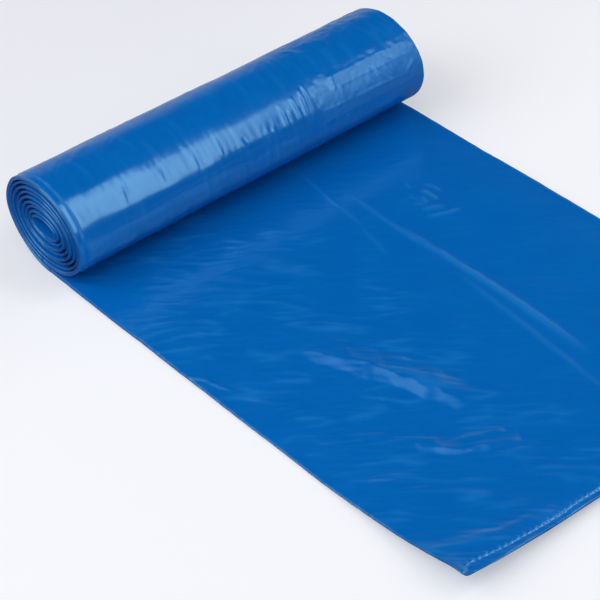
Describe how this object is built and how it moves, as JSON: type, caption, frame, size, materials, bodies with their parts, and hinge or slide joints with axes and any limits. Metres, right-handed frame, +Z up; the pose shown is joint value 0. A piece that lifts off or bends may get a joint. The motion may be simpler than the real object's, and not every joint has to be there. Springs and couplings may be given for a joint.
{
  "type": "garbage bag roll",
  "caption": "Coreless roll of folded plastic-film garbage bags, with the first bag pulled off the underside and its sealed end curling up.",
  "frame": {"origin": "on the surface it lies on, at the middle of the object's length and width", "axes": "+X along the roll's axis, +Y from the free end towards the roll, +Z up"},
  "size_m": [0.235, 0.3389, 0.055],
  "materials": {
    "blue_film": "glossy blue polyethylene film"
  },
  "bodies": {
    "root": {"bag_roll": "blue_film"}
  },
  "joints": []
}
